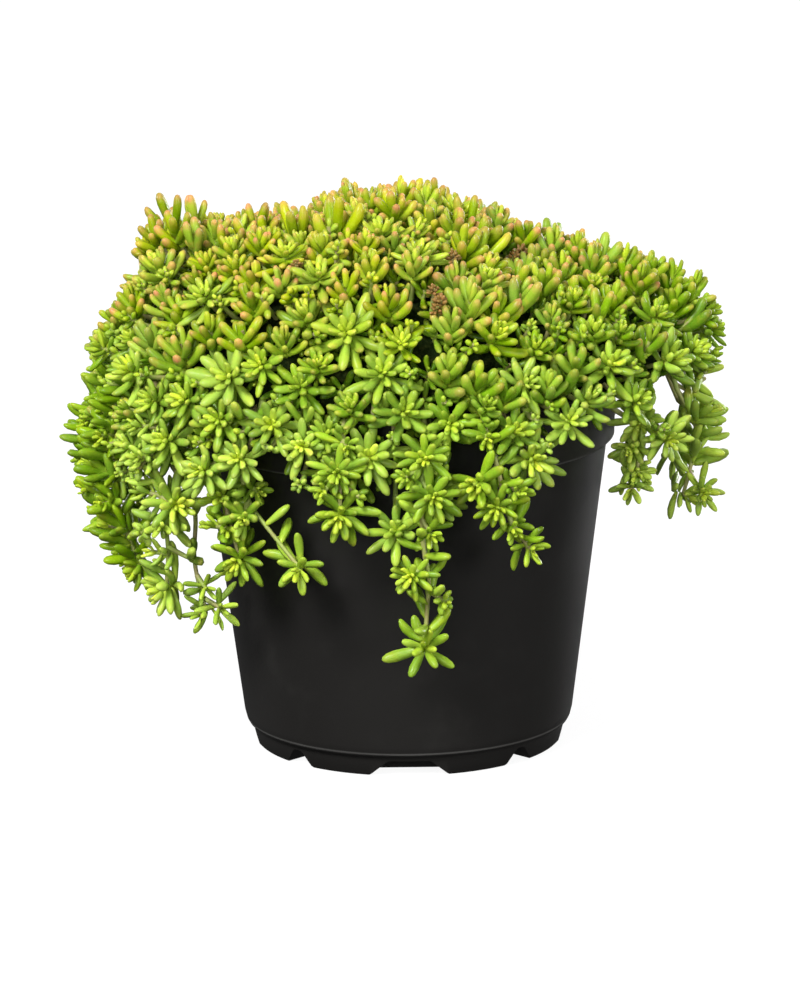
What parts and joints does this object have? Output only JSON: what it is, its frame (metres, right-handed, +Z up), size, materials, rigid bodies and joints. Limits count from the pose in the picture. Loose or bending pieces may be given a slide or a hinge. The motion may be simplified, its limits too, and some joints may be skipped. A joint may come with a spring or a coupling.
{
  "type": "potted sedum",
  "caption": "Mat-forming stonecrop with plump leaf rosettes, heaped over and trailing from a round black nursery pot.",
  "frame": {"origin": "on the pot's axis, in the plane that the pot's feet stand on", "axes": "+Z up along the pot's axis, -Y the front, with the wide foot notch and the longest trailing stem, +X to the right, along the mound's longer spread"},
  "size_m": [0.2597, 0.2342, 0.2181],
  "materials": {
    "pot_plastic": "satin",
    "potting_mix": "matte",
    "foliage": "satin"
  },
  "bodies": {
    "root": {"clump_crown": "foliage", "clump_inner_1": "foliage", "clump_inner_2": "foliage", "clump_inner_3": "foliage", "clump_inner_4": "foliage", "clump_inner_5": "foliage", "clump_inner_6": "foliage", "clump_inner_7": "foliage", "clump_outer_01": "foliage", "clump_outer_02": "foliage", "clump_outer_03": "foliage", "clump_outer_04": "foliage", "clump_outer_05": "foliage", "clump_outer_06": "foliage", "clump_outer_07": "foliage", "clump_outer_08": "foliage", "clump_outer_09": "foliage", "clump_outer_10": "foliage", "clump_outer_11": "foliage", "clump_outer_12": "foliage", "clump_outer_13": "foliage", "clump_outer_14": "foliage", "pot": "pot_plastic", "soil": "potting_mix", "trail_back": "foliage", "trail_back_left": "foliage", "trail_back_long": "foliage", "trail_back_right": "foliage", "trail_curtain_front": "foliage", "trail_curtain_middle": "foliage", "trail_curtain_rear": "foliage", "trail_front_long": "foliage", "trail_front_right": "foliage", "trail_front_short": "foliage", "trail_left_cluster": "foliage", "trail_left_front": "foliage", "trail_left_star": "foliage", "trail_left_thin": "foliage", "trail_right_far": "foliage", "trail_right_near": "foliage", "trail_right_rear": "foliage"}
  },
  "joints": []
}
